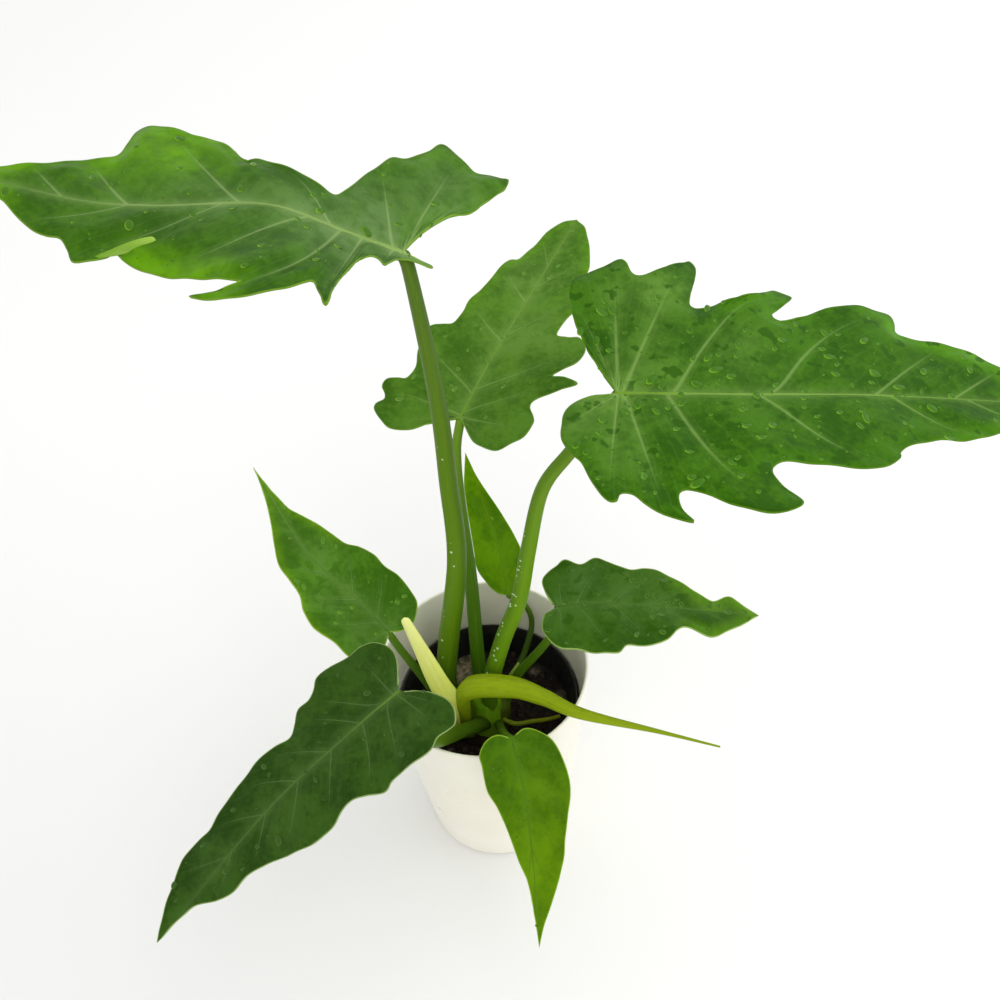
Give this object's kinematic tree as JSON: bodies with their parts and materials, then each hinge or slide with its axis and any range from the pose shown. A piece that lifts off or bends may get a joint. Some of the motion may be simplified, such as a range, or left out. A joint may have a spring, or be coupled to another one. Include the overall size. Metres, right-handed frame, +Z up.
{
  "type": "potted philodendron",
  "caption": "Potted aroid house plant with lobed and heart-shaped leaves on long stalks, in a black grower pot inside a cream cover pot.",
  "frame": {"origin": "middle of the cover pot's flat underside", "axes": "+Z up, +Y to the back, away from the viewer of the picture, +X to the viewer's right"},
  "size_m": [0.4821, 0.3491, 0.4792],
  "materials": {
    "cream_glaze": "smooth satin glaze",
    "black_plastic": "matt",
    "soil": "damp, coarse and fibrous",
    "stem": "satin, fleshy",
    "petiole": "smooth, satin",
    "leaf_1": "smooth, satin, veined",
    "leaf_2": "smooth, satin, veined",
    "leaf_3": "smooth, satin, veined",
    "leaf_4": "smooth, satin, veined",
    "leaf_5": "smooth, satin, veined",
    "leaf_6": "smooth, satin, veined",
    "leaf_7": "smooth, satin, veined",
    "leaf_8": "smooth, satin, veined",
    "sheath": "smooth, thin",
    "young_leaf": "smooth, satin",
    "root": "dry"
  },
  "bodies": {
    "root": {"cover_pot": "cream_glaze", "nursery_pot": "black_plastic", "soil": "soil", "stem_base": "stem", "leaf_1_petiole": "petiole", "leaf_1_blade": "leaf_1", "leaf_2_petiole": "petiole", "leaf_2_blade": "leaf_2", "leaf_3_petiole": "petiole", "leaf_3_blade": "leaf_3", "leaf_4_petiole": "petiole", "leaf_4_blade": "leaf_4", "leaf_5_petiole": "petiole", "leaf_5_blade": "leaf_5", "leaf_6_petiole": "petiole", "leaf_6_blade": "leaf_6", "leaf_7_petiole": "petiole", "leaf_7_blade": "leaf_7", "leaf_8_petiole": "petiole", "leaf_8_blade": "leaf_8", "cataphyll": "sheath", "rolled_leaf": "young_leaf", "bud": "young_leaf", "aerial_root": "root"}
  },
  "joints": []
}
